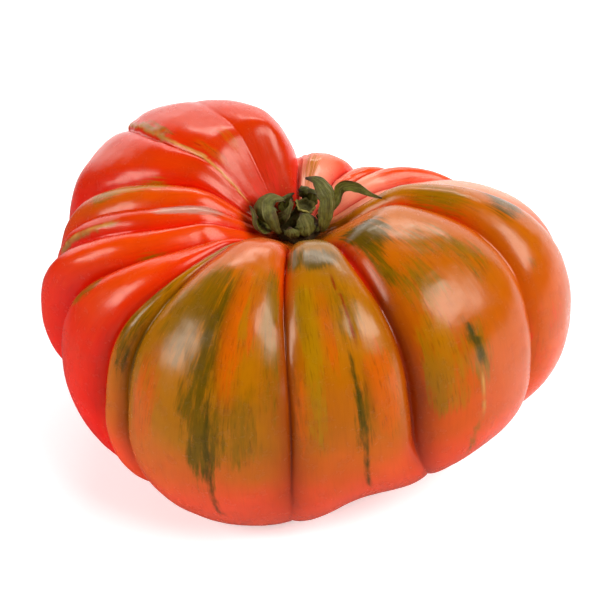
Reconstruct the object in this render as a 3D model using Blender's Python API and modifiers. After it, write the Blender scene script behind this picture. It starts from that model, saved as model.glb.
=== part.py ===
"""A ribbed beefsteak tomato, as picked: the fruit, its cut stem and its dried sepals.

The fruit is a loft of meridians round the stem axis. Each rib has its own reach, rim height and
foot, and the furrows between the ribs are pressed in along the meridian's normal. The underside
is pressed flat where the fruit rests. Lengths in the tables are millimetres, angles are degrees:
0 points along +X, 90 along +Y, and the front of the fruit looks along -Y.
"""

from typing import NamedTuple

import bmesh
import bpy
import numpy as np
from mathutils import Vector

MM = 0.001

# Stations down a meridian, as a share of the way from the stem pit to the blossom end.
RIM = 0.20
GIRTH = 0.52
FOOT = 0.82
ROWS_PER_STRETCH = (8, 12, 9, 5)

PIT_HEIGHT = 47.0
PIT_FLOOR_RADIUS = 3.0
PIT_STEEPNESS = 1.6
SHOULDER_ROUNDNESS = 2.3
BELLY_ROUNDNESS = 2.2
BLOSSOM_HEIGHT = 0.6
BLOSSOM_FLAT_SHARE = 0.35
SETTLE = 1.2
SCAR_RADIUS = 3.5
SCAR_DEPTH = 0.9

# The step in the foot at the front: its height, and its azimuths.
STEP_HEIGHT = 4.4
STEP_START = 270.0
STEP_TOP = 285.0
STEP_END = 305.0

# The furrows swing from their azimuth at the rim to the one at the girth, then to the low one.
SWING_START = 0.10
SWING_LOW = 0.76

# A furrow's profile, for ribs as wide as these or less, and for ribs as wide as these or more.
NARROW_RIB = 12.0
WIDE_RIB = 30.0
FURROW_ROUNDNESS = (0.85, 0.95)
FURROW_SQUARENESS = (2.0, 2.7)

# A furrow is at most this share of half its rib's width deep, and it fades out below the girth.
FURROW_SHARE = 0.8
FURROW_EASE = 1.0
SMALLEST_EASE = 0.01
FADE_START = 0.45
DEGREES_PER_SEGMENT = 3.6
FEWEST_SEGMENTS = 4

STEM_LENGTH = 5.4
STEM_LEAN = 18.0
STEM_GAP = 1.2
STEM_PROFILE = (
    (0.0, 0.25), (1.0, 0.0), (2.4, 0.0), (2.9, 0.35), (2.9, 0.8), (2.3, 1.3),
    (1.9, 2.4), (1.7, 3.6), (1.8, 4.6), (2.0, 5.1), (1.85, STEM_LENGTH), (0.0, 5.1),
)
STEM_STEPS = 28

SEPAL_THICKNESS = 0.5
SEPAL_ROWS = 16
SEPAL_COLUMNS = 4
SEPAL_WIDEST = 0.38
SEPAL_TIP_WIDTH = 0.12
SEPAL_BASE_HALF_WIDTH = 0.6


class Rib(NamedTuple):
    """One rib: where its furrow lies and how deep it is, then the rib's own meridian."""

    name: str
    side: float
    top: float
    low: float
    top_depth: float
    side_depth: float
    fade: float
    reach: float
    girth: float
    rim_radius: float
    rim_height: float
    foot_radius: float
    foot_height: float


# Each row's furrow is on the side of the lower azimuth; the rib runs from it to the next row's.
RIBS = (
    Rib("front_left", 221.5, 231.0, 228.0, 2.4, 5.0, 0.78, 47.5, 27.0, 20.0, 58.5, 22.0, 0.0),
    Rib("front_mid", 268.5, 263.0, 268.5, 3.4, 2.1, 0.64, 43.8, 27.0, 18.5, 58.3, 24.0, 2.6),
    Rib("front_right", 301.0, 297.0, 313.0, 4.2, 3.8, 0.62, 47.5, 30.0, 20.0, 59.0, 25.0, 7.6),
    Rib("right", 338.0, 352.0, 337.0, 4.0, 3.5, 0.78, 52.0, 31.0, 22.0, 58.2, 22.0, 7.0),
    Rib("right_rear", 363.0, 372.0, 360.0, 2.5, 2.5, 0.78, 49.5, 31.0, 20.0, 52.2, 18.0, 7.0),
    Rib("rear_right", 378.0, 388.0, 376.0, 3.0, 3.0, 0.78, 35.5, 31.0, 18.0, 52.8, 16.0, 6.0),
    Rib("rear_middle", 395.0, 403.0, 394.0, 3.0, 3.0, 0.78, 28.0, 30.0, 14.0, 52.8, 14.0, 5.0),
    Rib("notch_right", 413.0, 416.0, 413.0, 3.5, 3.5, 0.78, 23.5, 30.0, 13.0, 53.8, 12.0, 4.0),
    Rib("notch_left", 432.0, 432.0, 432.0, 0.0, 0.1, 0.78, 21.5, 30.0, 12.5, 54.0, 12.0, 4.0),
    Rib("notch_edge", 445.0, 445.0, 445.0, 0.0, 0.1, 0.78, 22.5, 30.0, 12.5, 53.6, 12.0, 4.0),
    Rib("hump_right", 451.0, 450.0, 450.0, 2.2, 3.5, 0.78, 30.5, 34.0, 16.0, 61.4, 14.0, 2.0),
    Rib("hump_rear", 482.0, 494.0, 479.0, 0.4, 0.9, 0.78, 46.0, 33.0, 19.0, 61.0, 18.0, 1.0),
    Rib("hump_left", 495.5, 523.0, 496.0, 1.8, 1.6, 0.78, 48.5, 31.0, 21.0, 58.5, 20.0, 0.0),
    Rib("left_first", 526.0, 535.0, 526.0, 2.2, 2.5, 0.78, 46.5, 30.0, 20.0, 57.0, 22.0, 2.0),
    Rib("left_second", 533.5, 551.0, 532.0, 1.2, 1.5, 0.78, 47.3, 30.0, 20.0, 56.0, 22.0, 5.0),
    Rib("left_third", 538.0, 563.0, 536.0, 2.0, 3.0, 0.78, 49.2, 31.0, 20.0, 55.5, 18.0, 8.0),
    Rib("left_fourth", 552.0, 574.0, 550.0, 4.0, 5.0, 0.78, 46.5, 27.0, 20.0, 56.0, 22.0, 0.5),
    Rib("left_fifth", 573.0, 588.0, 581.0, 2.5, 4.4, 0.78, 46.4, 26.5, 20.0, 57.5, 25.0, 2.5),
)


class Sepal(NamedTuple):
    """A dried sepal: its half width, how far it is cupped and twisted, and its midrib's points.

    The points are measured from the stem axis, and their height from the ribs' table frame.
    """

    name: str
    half_width: float
    cup: float
    twist: float
    midrib: tuple


SEPALS = (
    Sepal("sepal_left_arched", 1.5, 0.30, 0.0, (
        (-2.9, -2.7, 48.4), (-4.0, -4.1, 50.0), (-5.2, -3.9, 51.5), (-6.4, -2.6, 52.7),
        (-6.3, -0.3, 53.9), (-4.7, 1.2, 54.3), (-3.0, 1.5, 53.6), (-2.2, 1.4, 52.3))),
    Sepal("sepal_left_low", 1.5, 0.30, -15.0, (
        (-4.0, -0.7, 48.4), (-5.8, -2.1, 49.0), (-7.3, -3.3, 50.0),
        (-8.2, -3.2, 51.3), (-8.5, -2.0, 52.7), (-8.8, -0.8, 53.5))),
    Sepal("sepal_left_inner", 1.1, 0.35, 0.0, (
        (-3.8, 1.5, 48.4), (-3.9, 0.2, 50.2), (-2.7, -1.0, 51.9), (-1.6, -0.6, 53.2), (-1.2, 0.6, 53.9))),
    Sepal("sepal_front_left", 1.3, 0.30, 0.0, (
        (-0.9, -3.9, 48.4), (-1.2, -5.4, 49.6), (-1.3, -5.8, 51.0), (-1.5, -5.3, 52.1))),
    Sepal("sepal_front_right", 1.7, 0.35, 0.0, (
        (1.8, -3.7, 48.4), (2.1, -4.8, 50.0), (1.9, -4.4, 51.8), (1.2, -3.6, 53.1), (0.6, -3.0, 53.6))),
    Sepal("sepal_right_tall", 2.0, 0.25, 0.0, (
        (3.4, -2.1, 48.4), (5.1, -2.9, 49.3), (6.0, -2.4, 51.3), (6.4, -1.6, 53.5),
        (6.2, -0.5, 55.4), (5.2, 0.8, 56.9), (3.4, 2.0, 57.8), (1.5, 2.5, 57.5))),
    Sepal("sepal_right_long", 0.9, 0.30, 70.0, (
        (3.8, 1.4, 48.4), (6.4, 2.4, 50.0), (7.8, 2.9, 52.4), (8.2, 3.1, 54.4),
        (9.9, 2.7, 55.2), (12.0, 1.6, 55.5), (14.0, -0.5, 55.9), (15.6, -1.9, 56.2))),
    Sepal("sepal_rear", 1.4, 0.35, 0.0, (
        (1.5, 3.7, 48.5), (2.6, 4.9, 50.4), (2.5, 5.0, 52.4), (1.4, 4.2, 53.8), (0.2, 3.6, 53.4))),
    Sepal("sepal_rear_left", 1.4, 0.35, 0.0, (
        (-2.1, 3.3, 48.5), (-2.9, 4.0, 50.2), (-2.2, 4.0, 52.0), (-0.6, 3.4, 52.9))),
)

FRUIT_COLOUR = (0.56, 0.075, 0.010)
STEM_COLOUR = (0.26, 0.27, 0.09)
SEPAL_COLOUR = (0.085, 0.10, 0.030)


def smooth_step(value, start, end):
    share = np.clip((value - start) / (end - start), 0.0, 1.0)
    return share * share * (3.0 - 2.0 * share)


def soft_minimum(first, second, ease):
    share = np.clip(0.5 + 0.5 * (second - first) / ease, 0.0, 1.0)
    return second * (1.0 - share) + first * share - ease * share * (1.0 - share)


def column(field):
    return np.array([getattr(rib, field) for rib in RIBS])


def next_column(field):
    """The same field of the next rib, one turn on for the last."""
    turn = 360.0 if field in ("side", "top", "low") else 0.0
    values = column(field)
    return np.append(values[1:], values[0] + turn)


def round_the_axis(azimuth, field):
    """A rib's value at its middle, carried smoothly round to the other ribs' middles."""
    middle = (column("side") + next_column("side")) / 2.0
    value = column(field)
    middle = np.concatenate([middle[-2:] - 360.0, middle, middle[:2] + 360.0])
    value = np.concatenate([value[-2:], value, value[:2]])
    slope = np.zeros(len(value))
    slope[1:-1] = (value[2:] - value[:-2]) / (middle[2:] - middle[:-2])
    here = np.clip(np.searchsorted(middle, azimuth, side="right") - 1, 1, len(middle) - 3)
    gap = middle[here + 1] - middle[here]
    s = (azimuth - middle[here]) / gap
    return (
        (2 * s**3 - 3 * s**2 + 1) * value[here]
        + (s**3 - 2 * s**2 + s) * gap * slope[here]
        + (3 * s**2 - 2 * s**3) * value[here + 1]
        + (s**3 - s**2) * gap * slope[here + 1]
    )


def azimuths(rib, across, down):
    """The azimuth of each point, as the furrows swing from rim to girth to foot."""
    share = (across + 1.0) / 2.0
    at = {
        field: column(field)[rib] + (next_column(field)[rib] - column(field)[rib]) * share
        for field in ("top", "side", "low")
    }
    to_side = smooth_step(down, SWING_START, GIRTH)
    to_low = smooth_step(down, GIRTH, SWING_LOW)
    below = at["side"] * (1.0 - to_low) + at["low"] * to_low
    return at["top"] * (1.0 - to_side) + below * to_side


def foot_step(azimuth):
    """The foot rises quickly across the front middle rib, then eases back towards the right."""
    rise = smooth_step(azimuth, STEP_START, STEP_TOP)
    return STEP_HEIGHT * rise * (1.0 - smooth_step(azimuth, STEP_TOP, STEP_END))


def meridian(azimuth, down):
    """Radius and height down the smooth, unfurrowed fruit at each azimuth round the girth."""
    reach = round_the_axis(azimuth, "reach")
    girth = round_the_axis(azimuth, "girth")
    rim_radius = round_the_axis(azimuth, "rim_radius")
    rim_height = round_the_axis(azimuth, "rim_height")
    foot_radius = round_the_axis(azimuth, "foot_radius")
    foot_height = round_the_axis(azimuth, "foot_height") + foot_step(azimuth)

    pit_radius = rim_radius * np.clip(down / RIM, 0.0, 1.0)
    climb = np.clip((pit_radius - PIT_FLOOR_RADIUS) / (rim_radius - PIT_FLOOR_RADIUS), 0.0, 1.0)
    pit_rise = np.sin(climb * np.pi / 2.0) ** PIT_STEEPNESS
    pit_height = PIT_HEIGHT + (rim_height - PIT_HEIGHT) * pit_rise

    angle = np.clip((down - RIM) / (GIRTH - RIM), 0.0, 1.0) * np.pi / 2.0
    power = 2.0 / SHOULDER_ROUNDNESS
    shoulder_radius = rim_radius + (reach - rim_radius) * np.sin(angle) ** power
    shoulder_height = girth + (rim_height - girth) * np.cos(angle) ** power

    angle = np.clip((down - GIRTH) / (FOOT - GIRTH), 0.0, 1.0) * np.pi / 2.0
    power = 2.0 / BELLY_ROUNDNESS
    belly_radius = foot_radius + (reach - foot_radius) * np.cos(angle) ** power
    belly_height = girth - (girth - foot_height) * np.sin(angle) ** power

    outward = 1.0 - np.clip((down - FOOT) / (1.0 - FOOT), 0.0, 1.0)
    under_radius = foot_radius * outward
    under_rise = smooth_step(outward, BLOSSOM_FLAT_SHARE, 1.0)
    under_height = BLOSSOM_HEIGHT + (foot_height - BLOSSOM_HEIGHT) * under_rise

    stretches = [down < RIM, down < GIRTH, down < FOOT]
    radius = np.select(stretches, [pit_radius, shoulder_radius, belly_radius], under_radius)
    height = np.select(stretches, [pit_height, shoulder_height, belly_height], under_height)
    return radius, height


def wanted_depth(rib, down):
    """How deep the furrow where each rib starts would be if its ribs were broad enough."""
    near_rim = np.interp(down, [0.0, 0.4 * RIM, RIM, 0.38, 1.0], [0.0, 0.5, 1.0, 0.5, 0.0])
    near_girth = np.interp(down, [RIM, 0.38, GIRTH], [0.0, 0.5, 1.0])
    left_over = 1.0 - smooth_step(down, FADE_START, column("fade")[rib])
    return column("top_depth")[rib] * near_rim + column("side_depth")[rib] * near_girth * left_over


def furrow_depth(rib, across, down, radius):
    """How far each point is pressed in: most in the furrows, least on the rib's crest.

    A rib too narrow for its furrows is as deep as it has room for, and lies sunk between them.
    """
    start = wanted_depth(rib, down)
    end = wanted_depth((rib + 1) % len(RIBS), down)
    half_side = (next_column("side") - column("side"))[rib] / 2.0
    half_top = (next_column("top") - column("top"))[rib] / 2.0
    swing = smooth_step(down, SWING_START, GIRTH)
    room = FURROW_SHARE * np.radians(half_top * (1.0 - swing) + half_side * swing) * radius
    ease = np.clip(room, SMALLEST_EASE, FURROW_EASE)
    own_start = soft_minimum(start, room, ease)
    own_end = soft_minimum(end, room, ease)
    towards_end = smooth_step(across, -1.0, 1.0)
    sunk = (start - own_start) * (1.0 - towards_end) + (end - own_end) * towards_end

    # Broad ribs have square shoulders and narrow ones are round.
    width = (next_column("side") - column("side"))[rib]
    power = np.interp(width, (NARROW_RIB, WIDE_RIB), FURROW_SQUARENESS)
    roundness = np.interp(width, (NARROW_RIB, WIDE_RIB), FURROW_ROUNDNESS)
    arc = 1.0 - (1.0 - np.abs(roundness * across) ** power) ** (1.0 / power)
    deepest = 1.0 - (1.0 - roundness**power) ** (1.0 / power)
    return np.where(across < 0.0, own_start, own_end) * arc / deepest + sunk


def furrowed_surface(rib, across, down):
    """Points (rows, columns, xyz) in millimetres, from the axis, before the fruit is settled."""
    down = down[:, None]
    azimuth_at_girth = column("side")[rib] + (next_column("side") - column("side"))[rib] * (across + 1) / 2
    radius, height = meridian(azimuth_at_girth, down)
    turn_radius = np.gradient(radius, axis=0)
    turn_height = np.gradient(height, axis=0)
    length = np.hypot(turn_radius, turn_height) + 1e-9
    depth = furrow_depth(rib, across, down, radius)
    radius = np.maximum(radius + depth * turn_height / length, 0.0)
    height = height - depth * turn_radius / length
    azimuth = np.radians(azimuths(rib, across, down))
    return np.stack([radius * np.cos(azimuth), radius * np.sin(azimuth), height], axis=-1)


def settled_height(points):
    """The underside pressed flat, with the sunken blossom scar in its middle."""
    flat = np.maximum(points[..., 2] - SETTLE, 0.0)
    radius = np.hypot(points[..., 0], points[..., 1])
    scar = SCAR_DEPTH * np.clip(1.0 - (radius / SCAR_RADIUS) ** 2, 0.0, 1.0) ** 2
    return flat + np.where(points[..., 2] < PIT_HEIGHT / 2.0, scar, 0.0)


def rib_columns():
    """Rib number and place across the rib (-1 to 1) of each meridian, closer by the furrows."""
    rib = []
    across = []
    for number, width in enumerate(next_column("side") - column("side")):
        segments = max(FEWEST_SEGMENTS, 2 * round(width / DEGREES_PER_SEGMENT / 2))
        steps = np.linspace(-1.0, 1.0, segments, endpoint=False)
        rib.extend([number] * segments)
        across.extend(np.sin(steps * np.pi / 2.0))
    return np.array(rib), np.array(across)


def meridian_rows():
    ends = (0.0, RIM, GIRTH, FOOT, 1.0)
    rows = [np.linspace(a, b, n, endpoint=False) for a, b, n in zip(ends, ends[1:], ROWS_PER_STRETCH)]
    return np.append(np.concatenate(rows), 1.0)


def principled(name, colour, roughness):
    material = bpy.data.materials.new(name)
    material.use_nodes = True
    shader = material.node_tree.nodes["Principled BSDF"]
    shader.inputs["Base Color"].default_value = (*colour, 1.0)
    shader.inputs["Roughness"].default_value = roughness
    shader.inputs["Metallic"].default_value = 0.0
    material.diffuse_color = (*colour, 1.0)
    return material


def named_object(name, mesh, collection, material):
    mesh.materials.append(material)
    mesh.shade_smooth()
    made = bpy.data.objects.new(name, mesh)
    collection.objects.link(made)
    return made


def fruit_points():
    """The fruit's points in millimetres, and the shift that centres the fruit on the origin."""
    rib, across = rib_columns()
    points = furrowed_surface(rib, across, meridian_rows())
    points[..., 2] = settled_height(points)
    low = points.min(axis=(0, 1))
    high = points.max(axis=(0, 1))
    shift = np.array([-(low[0] + high[0]) / 2.0, -(low[1] + high[1]) / 2.0, -low[2]])
    return points, shift


def make_fruit(points, shift, collection):
    """A loft of the rows, closed by one point at the stem pit and one at the blossom end."""
    work = bmesh.new()
    rings = [
        [work.verts.new((point + shift) * MM) for point in row]
        for row in points[1:-1]
    ]
    stem_end = work.verts.new((points[0, 0] + shift) * MM)
    blossom_end = work.verts.new((points[-1, 0] + shift) * MM)
    count = len(rings[0])
    for first in range(count):
        second = (first + 1) % count
        work.faces.new((stem_end, rings[0][first], rings[0][second]))
        for upper, lower in zip(rings, rings[1:]):
            work.faces.new((upper[first], lower[first], lower[second], upper[second]))
        work.faces.new((rings[-1][first], blossom_end, rings[-1][second]))
    bmesh.ops.recalc_face_normals(work, faces=work.faces)
    mesh = bpy.data.meshes.new("fruit")
    work.to_mesh(mesh)
    work.free()
    return named_object("fruit", mesh, collection, principled("tomato_skin", FRUIT_COLOUR, 0.28))


def make_stem(shift, collection):
    """The cut stem on its swollen base: a turned profile, leaning towards +X."""
    profile = bpy.data.meshes.new("stem_profile")
    work = bmesh.new()
    corners = [work.verts.new((radius * MM, 0.0, height * MM)) for radius, height in reversed(STEM_PROFILE)]
    for first, second in zip(corners, corners[1:]):
        work.edges.new((first, second))
    work.to_mesh(profile)
    work.free()
    stem = named_object("stem_stub", profile, collection, principled("cut_stem", STEM_COLOUR, 0.7))
    turn = stem.modifiers.new("turned", "SCREW")
    turn.steps = STEM_STEPS
    turn.render_steps = STEM_STEPS
    turn.use_merge_vertices = True
    turn.merge_threshold = 1e-5
    stem.rotation_euler.y = np.radians(STEM_LEAN)
    base = np.array([0.0, 0.0, PIT_HEIGHT + STEM_GAP - SETTLE]) + shift
    stem.location = base * MM
    return stem


def along(points, share):
    """A smooth curve through the points (Catmull-Rom), and its direction, at a share of its length."""
    spot = share * (len(points) - 1)
    first = min(int(spot), len(points) - 2)
    s = spot - first
    before = points[first - 1] if first > 0 else points[0] * 2 - points[1]
    after = points[first + 2] if first + 2 < len(points) else points[-1] * 2 - points[-2]
    a, b, c, d = before, points[first], points[first + 1], after
    place = 0.5 * (2 * b + (c - a) * s + (2 * a - 5 * b + 4 * c - d) * s**2 + (3 * b - a - 3 * c + d) * s**3)
    course = 0.5 * ((c - a) + 2 * (2 * a - 5 * b + 4 * c - d) * s + 3 * (3 * b - a - 3 * c + d) * s**2)
    return place, course.normalized()


def sepal_half_width(sepal, share):
    if share < SEPAL_WIDEST:
        growth = float(smooth_step(share, 0.0, SEPAL_WIDEST))
        return SEPAL_BASE_HALF_WIDTH + (sepal.half_width - SEPAL_BASE_HALF_WIDTH) * growth
    narrowing = ((share - SEPAL_WIDEST) / (1.0 - SEPAL_WIDEST)) ** 1.6
    return sepal.half_width * (1.0 - (1.0 - SEPAL_TIP_WIDTH) * narrowing)


def make_sepal(sepal, shift, collection, material):
    """A cupped strip along the midrib, given its thickness by a Solidify modifier."""
    points = [Vector(point) for point in sepal.midrib]
    outward = Vector((points[0].x, points[0].y, 0.0)).normalized()
    level = Vector((-outward.y, outward.x, 0.0))
    lowered = Vector(shift) - Vector((0.0, 0.0, SETTLE))
    work = bmesh.new()
    rows = []
    for row in range(SEPAL_ROWS + 1):
        share = row / SEPAL_ROWS
        place, course = along(points, share)
        width = (level - course * level.dot(course)).normalized()
        twist = np.radians(sepal.twist) * share
        width = width * np.cos(twist) + course.cross(width) * np.sin(twist)
        face = course.cross(width)
        half = sepal_half_width(sepal, share)
        line = []
        for step in np.linspace(-1.0, 1.0, SEPAL_COLUMNS + 1):
            offset = width * (half * step) + face * (sepal.cup * half * step * step)
            line.append(work.verts.new((place + offset + lowered) * MM))
        rows.append(line)
    for lower, upper in zip(rows, rows[1:]):
        for left, right in zip(range(SEPAL_COLUMNS), range(1, SEPAL_COLUMNS + 1)):
            work.faces.new((lower[left], lower[right], upper[right], upper[left]))
    mesh = bpy.data.meshes.new(sepal.name)
    work.to_mesh(mesh)
    work.free()
    made = named_object(sepal.name, mesh, collection, material)
    solidify = made.modifiers.new("thickness", "SOLIDIFY")
    solidify.thickness = SEPAL_THICKNESS * MM
    solidify.offset = 0.0
    return made


def main():
    for old in list(bpy.data.objects):
        bpy.data.objects.remove(old)
    collection = bpy.data.collections.new("ribbed_tomato")
    bpy.context.scene.collection.children.link(collection)
    points, shift = fruit_points()
    make_fruit(points, shift, collection)
    axis_shift = np.array([shift[0], shift[1], 0.0])
    make_stem(axis_shift, collection)
    for sepal in SEPALS:
        make_sepal(sepal, axis_shift, collection, principled(sepal.name, SEPAL_COLOUR, 0.75))


main()
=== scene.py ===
import math
from typing import NamedTuple

import bmesh
import bpy
import numpy as np
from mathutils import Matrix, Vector


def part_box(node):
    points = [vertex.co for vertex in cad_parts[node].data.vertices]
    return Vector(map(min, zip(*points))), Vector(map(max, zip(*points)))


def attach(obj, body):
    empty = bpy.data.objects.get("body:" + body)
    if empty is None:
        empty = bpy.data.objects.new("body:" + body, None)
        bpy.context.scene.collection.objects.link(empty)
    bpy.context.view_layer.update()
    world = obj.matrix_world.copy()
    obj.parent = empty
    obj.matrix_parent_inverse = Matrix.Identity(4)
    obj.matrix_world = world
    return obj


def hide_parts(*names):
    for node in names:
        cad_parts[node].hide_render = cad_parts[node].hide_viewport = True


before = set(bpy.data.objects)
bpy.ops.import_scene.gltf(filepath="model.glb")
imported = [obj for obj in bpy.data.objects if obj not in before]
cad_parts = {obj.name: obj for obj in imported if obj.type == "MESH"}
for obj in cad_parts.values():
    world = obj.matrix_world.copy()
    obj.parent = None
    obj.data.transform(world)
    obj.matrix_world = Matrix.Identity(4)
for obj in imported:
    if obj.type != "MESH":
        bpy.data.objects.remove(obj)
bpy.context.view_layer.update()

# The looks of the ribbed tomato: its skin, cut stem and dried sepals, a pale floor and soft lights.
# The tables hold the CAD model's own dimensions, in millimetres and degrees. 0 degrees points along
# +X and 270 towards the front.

MM = 0.001
WHITE = (1.0, 1.0, 1.0, 1.0)
TINY = 1e-9
FAINT = 1e-3

# ---- The fruit's shape, as in the CAD model ----

# Stations down a meridian, as a share of the way from the stem pit to the blossom end.
MID_PIT = 0.08
RIM = 0.2
MID_SHOULDER = 0.38
GIRTH = 0.52
FOOT = 0.82

# The skin's grid. Ribs share its columns by their width to this power, which favours narrow ones.
ROWS_PER_STRETCH = (36, 76, 74, 29)
COLUMNS = 456
COLUMN_SHARING = 0.8

PIT_HEIGHT = 47.0
PIT_FLOOR_RADIUS = 3.0
PIT_STEEPNESS = 1.6
SHOULDER_ROUNDNESS = 2.3
BELLY_ROUNDNESS = 2.2
BLOSSOM_HEIGHT = 0.6
BLOSSOM_FLAT_SHARE = 0.35
SETTLE = 1.2
SCAR_RADIUS = 3.5
SCAR_DEPTH = 0.9

# The step in the foot at the front: its height, and its azimuths.
STEP_HEIGHT = 4.4
STEP_START = 270.0
STEP_TOP = 285.0
STEP_END = 305.0

# The furrows swing from their azimuth at the rim to the one at the girth, then to the low one.
SWING_START = 0.1
SWING_LOW = 0.76

# A furrow's profile, for ribs as wide as these or less, and for ribs as wide as these or more.
NARROW_RIB = 12.0
WIDE_RIB = 30.0
FURROW_ROUNDNESS = (0.85, 0.95)
FURROW_SQUARENESS = (2.0, 2.7)

# A furrow is at most this share of half its rib's width deep, and it fades out below the girth.
FURROW_SHARE = 0.8
FURROW_EASE = 1.0
SMALLEST_EASE = 0.01
FADE_START = 0.45


class Rib(NamedTuple):
    """One rib: where its furrow lies and how deep it is, then the rib's own meridian."""

    name: str
    side: float
    top: float
    low: float
    top_depth: float
    side_depth: float
    fade: float
    reach: float
    girth: float
    rim_radius: float
    rim_height: float
    foot_radius: float
    foot_height: float


RIBS = [Rib(*row) for row in (
    ("front_left", 221.5, 231, 228, 2.4, 5, 0.78, 47.5, 27, 20, 58.5, 22, 0),
    ("front_mid", 268.5, 263, 268.5, 3.4, 2.1, 0.64, 43.8, 27, 18.5, 58.3, 24, 2.6),
    ("front_right", 301, 297, 313, 4.2, 3.8, 0.62, 47.5, 30, 20, 59, 25, 7.6),
    ("right", 338, 352, 337, 4, 3.5, 0.78, 52, 31, 22, 58.2, 22, 7),
    ("right_rear", 363, 372, 360, 2.5, 2.5, 0.78, 49.5, 31, 20, 52.2, 18, 7),
    ("rear_right", 378, 388, 376, 3, 3, 0.78, 35.5, 31, 18, 52.8, 16, 6),
    ("rear_middle", 395, 403, 394, 3, 3, 0.78, 28, 30, 14, 52.8, 14, 5),
    ("notch_right", 413, 416, 413, 3.5, 3.5, 0.78, 23.5, 30, 13, 53.8, 12, 4),
    ("notch_left", 432, 432, 432, 0, 0.1, 0.78, 21.5, 30, 12.5, 54, 12, 4),
    ("notch_edge", 445, 445, 445, 0, 0.1, 0.78, 22.5, 30, 12.5, 53.6, 12, 4),
    ("hump_right", 451, 450, 450, 2.2, 3.5, 0.78, 30.5, 34, 16, 61.4, 14, 2),
    ("hump_rear", 482, 494, 479, 0.4, 0.9, 0.78, 46, 33, 19, 61, 18, 1),
    ("hump_left", 495.5, 523, 496, 1.8, 1.6, 0.78, 48.5, 31, 21, 58.5, 20, 0),
    ("left_first", 526, 535, 526, 2.2, 2.5, 0.78, 46.5, 30, 20, 57, 22, 2),
    ("left_second", 533.5, 551, 532, 1.2, 1.5, 0.78, 47.3, 30, 20, 56, 22, 5),
    ("left_third", 538, 563, 536, 2, 3, 0.78, 49.2, 31, 20, 55.5, 18, 8),
    ("left_fourth", 552, 574, 550, 4, 5, 0.78, 46.5, 27, 20, 56, 22, 0.5),
    ("left_fifth", 573, 588, 581, 2.5, 4.4, 0.78, 46.4, 26.5, 20, 57.5, 25, 2.5),
)]


def smooth_step(value, start, end):
    share = np.clip((value - start) / (end - start), 0.0, 1.0)
    return share * share * (3.0 - 2.0 * share)


def soft_minimum(first, second, ease):
    share = np.clip(0.5 + 0.5 * (second - first) / ease, 0.0, 1.0)
    return second * (1.0 - share) + first * share - ease * share * (1.0 - share)


def stacked(*values):
    """The values side by side in a new last dimension."""
    return np.stack(np.broadcast_arrays(*values), axis=-1)


def column(field):
    return np.array([getattr(rib, field) for rib in RIBS], float)


def next_column(field):
    """The same field of the next rib, one turn on for the last."""
    turn = 360.0 if field in ("side", "top", "low") else 0.0
    values = column(field)
    return np.append(values[1:], values[0] + turn)


def span(field):
    """How far the field runs over each rib, from its own furrow to the next one."""
    return next_column(field) - column(field)


def round_the_axis(azimuth, field):
    """A rib's value at its middle, carried smoothly round to the other ribs' middles."""
    middle = (column("side") + next_column("side")) / 2.0
    value = column(field)
    middle = np.concatenate([middle[-2:] - 360.0, middle, middle[:2] + 360.0])
    value = np.concatenate([value[-2:], value, value[:2]])
    slope = np.zeros(len(value))
    slope[1:-1] = (value[2:] - value[:-2]) / (middle[2:] - middle[:-2])
    here = np.clip(np.searchsorted(middle, azimuth, side="right") - 1, 1, len(middle) - 3)
    gap = middle[here + 1] - middle[here]
    s = (azimuth - middle[here]) / gap
    return (
        (2 * s**3 - 3 * s**2 + 1) * value[here]
        + (s**3 - 2 * s**2 + s) * gap * slope[here]
        + (3 * s**2 - 2 * s**3) * value[here + 1]
        + (s**3 - s**2) * gap * slope[here + 1]
    )


def foot_step(azimuth):
    """The foot rises quickly across the front middle rib, then eases back towards the right."""
    rise = smooth_step(azimuth, STEP_START, STEP_TOP)
    return STEP_HEIGHT * rise * (1.0 - smooth_step(azimuth, STEP_TOP, STEP_END))


def meridian(azimuth, down):
    """Radius and height down the smooth, unfurrowed fruit at each azimuth round the girth."""
    fields = ("reach", "girth", "rim_radius", "rim_height", "foot_radius", "foot_height")
    values = (round_the_axis(azimuth, field) for field in fields)
    reach, girth, rim_radius, rim_height, foot_radius, foot_height = values
    foot_height = foot_height + foot_step(azimuth)

    pit_radius = rim_radius * np.clip(down / RIM, 0.0, 1.0)
    climb = np.clip((pit_radius - PIT_FLOOR_RADIUS) / (rim_radius - PIT_FLOOR_RADIUS), 0.0, 1.0)
    pit_rise = np.sin(climb * np.pi / 2.0) ** PIT_STEEPNESS
    pit_height = PIT_HEIGHT + (rim_height - PIT_HEIGHT) * pit_rise

    angle = np.clip((down - RIM) / (GIRTH - RIM), 0.0, 1.0) * np.pi / 2.0
    power = 2.0 / SHOULDER_ROUNDNESS
    shoulder_radius = rim_radius + (reach - rim_radius) * np.sin(angle) ** power
    shoulder_height = girth + (rim_height - girth) * np.cos(angle) ** power

    angle = np.clip((down - GIRTH) / (FOOT - GIRTH), 0.0, 1.0) * np.pi / 2.0
    power = 2.0 / BELLY_ROUNDNESS
    belly_radius = foot_radius + (reach - foot_radius) * np.cos(angle) ** power
    belly_height = girth - (girth - foot_height) * np.sin(angle) ** power

    outward = 1.0 - np.clip((down - FOOT) / (1.0 - FOOT), 0.0, 1.0)
    under_radius = foot_radius * outward
    under_rise = smooth_step(outward, BLOSSOM_FLAT_SHARE, 1.0)
    under_height = BLOSSOM_HEIGHT + (foot_height - BLOSSOM_HEIGHT) * under_rise

    stretches = [down < RIM, down < GIRTH, down < FOOT]
    radius = np.select(stretches, [pit_radius, shoulder_radius, belly_radius], under_radius)
    height = np.select(stretches, [pit_height, shoulder_height, belly_height], under_height)
    return radius, height


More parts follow.
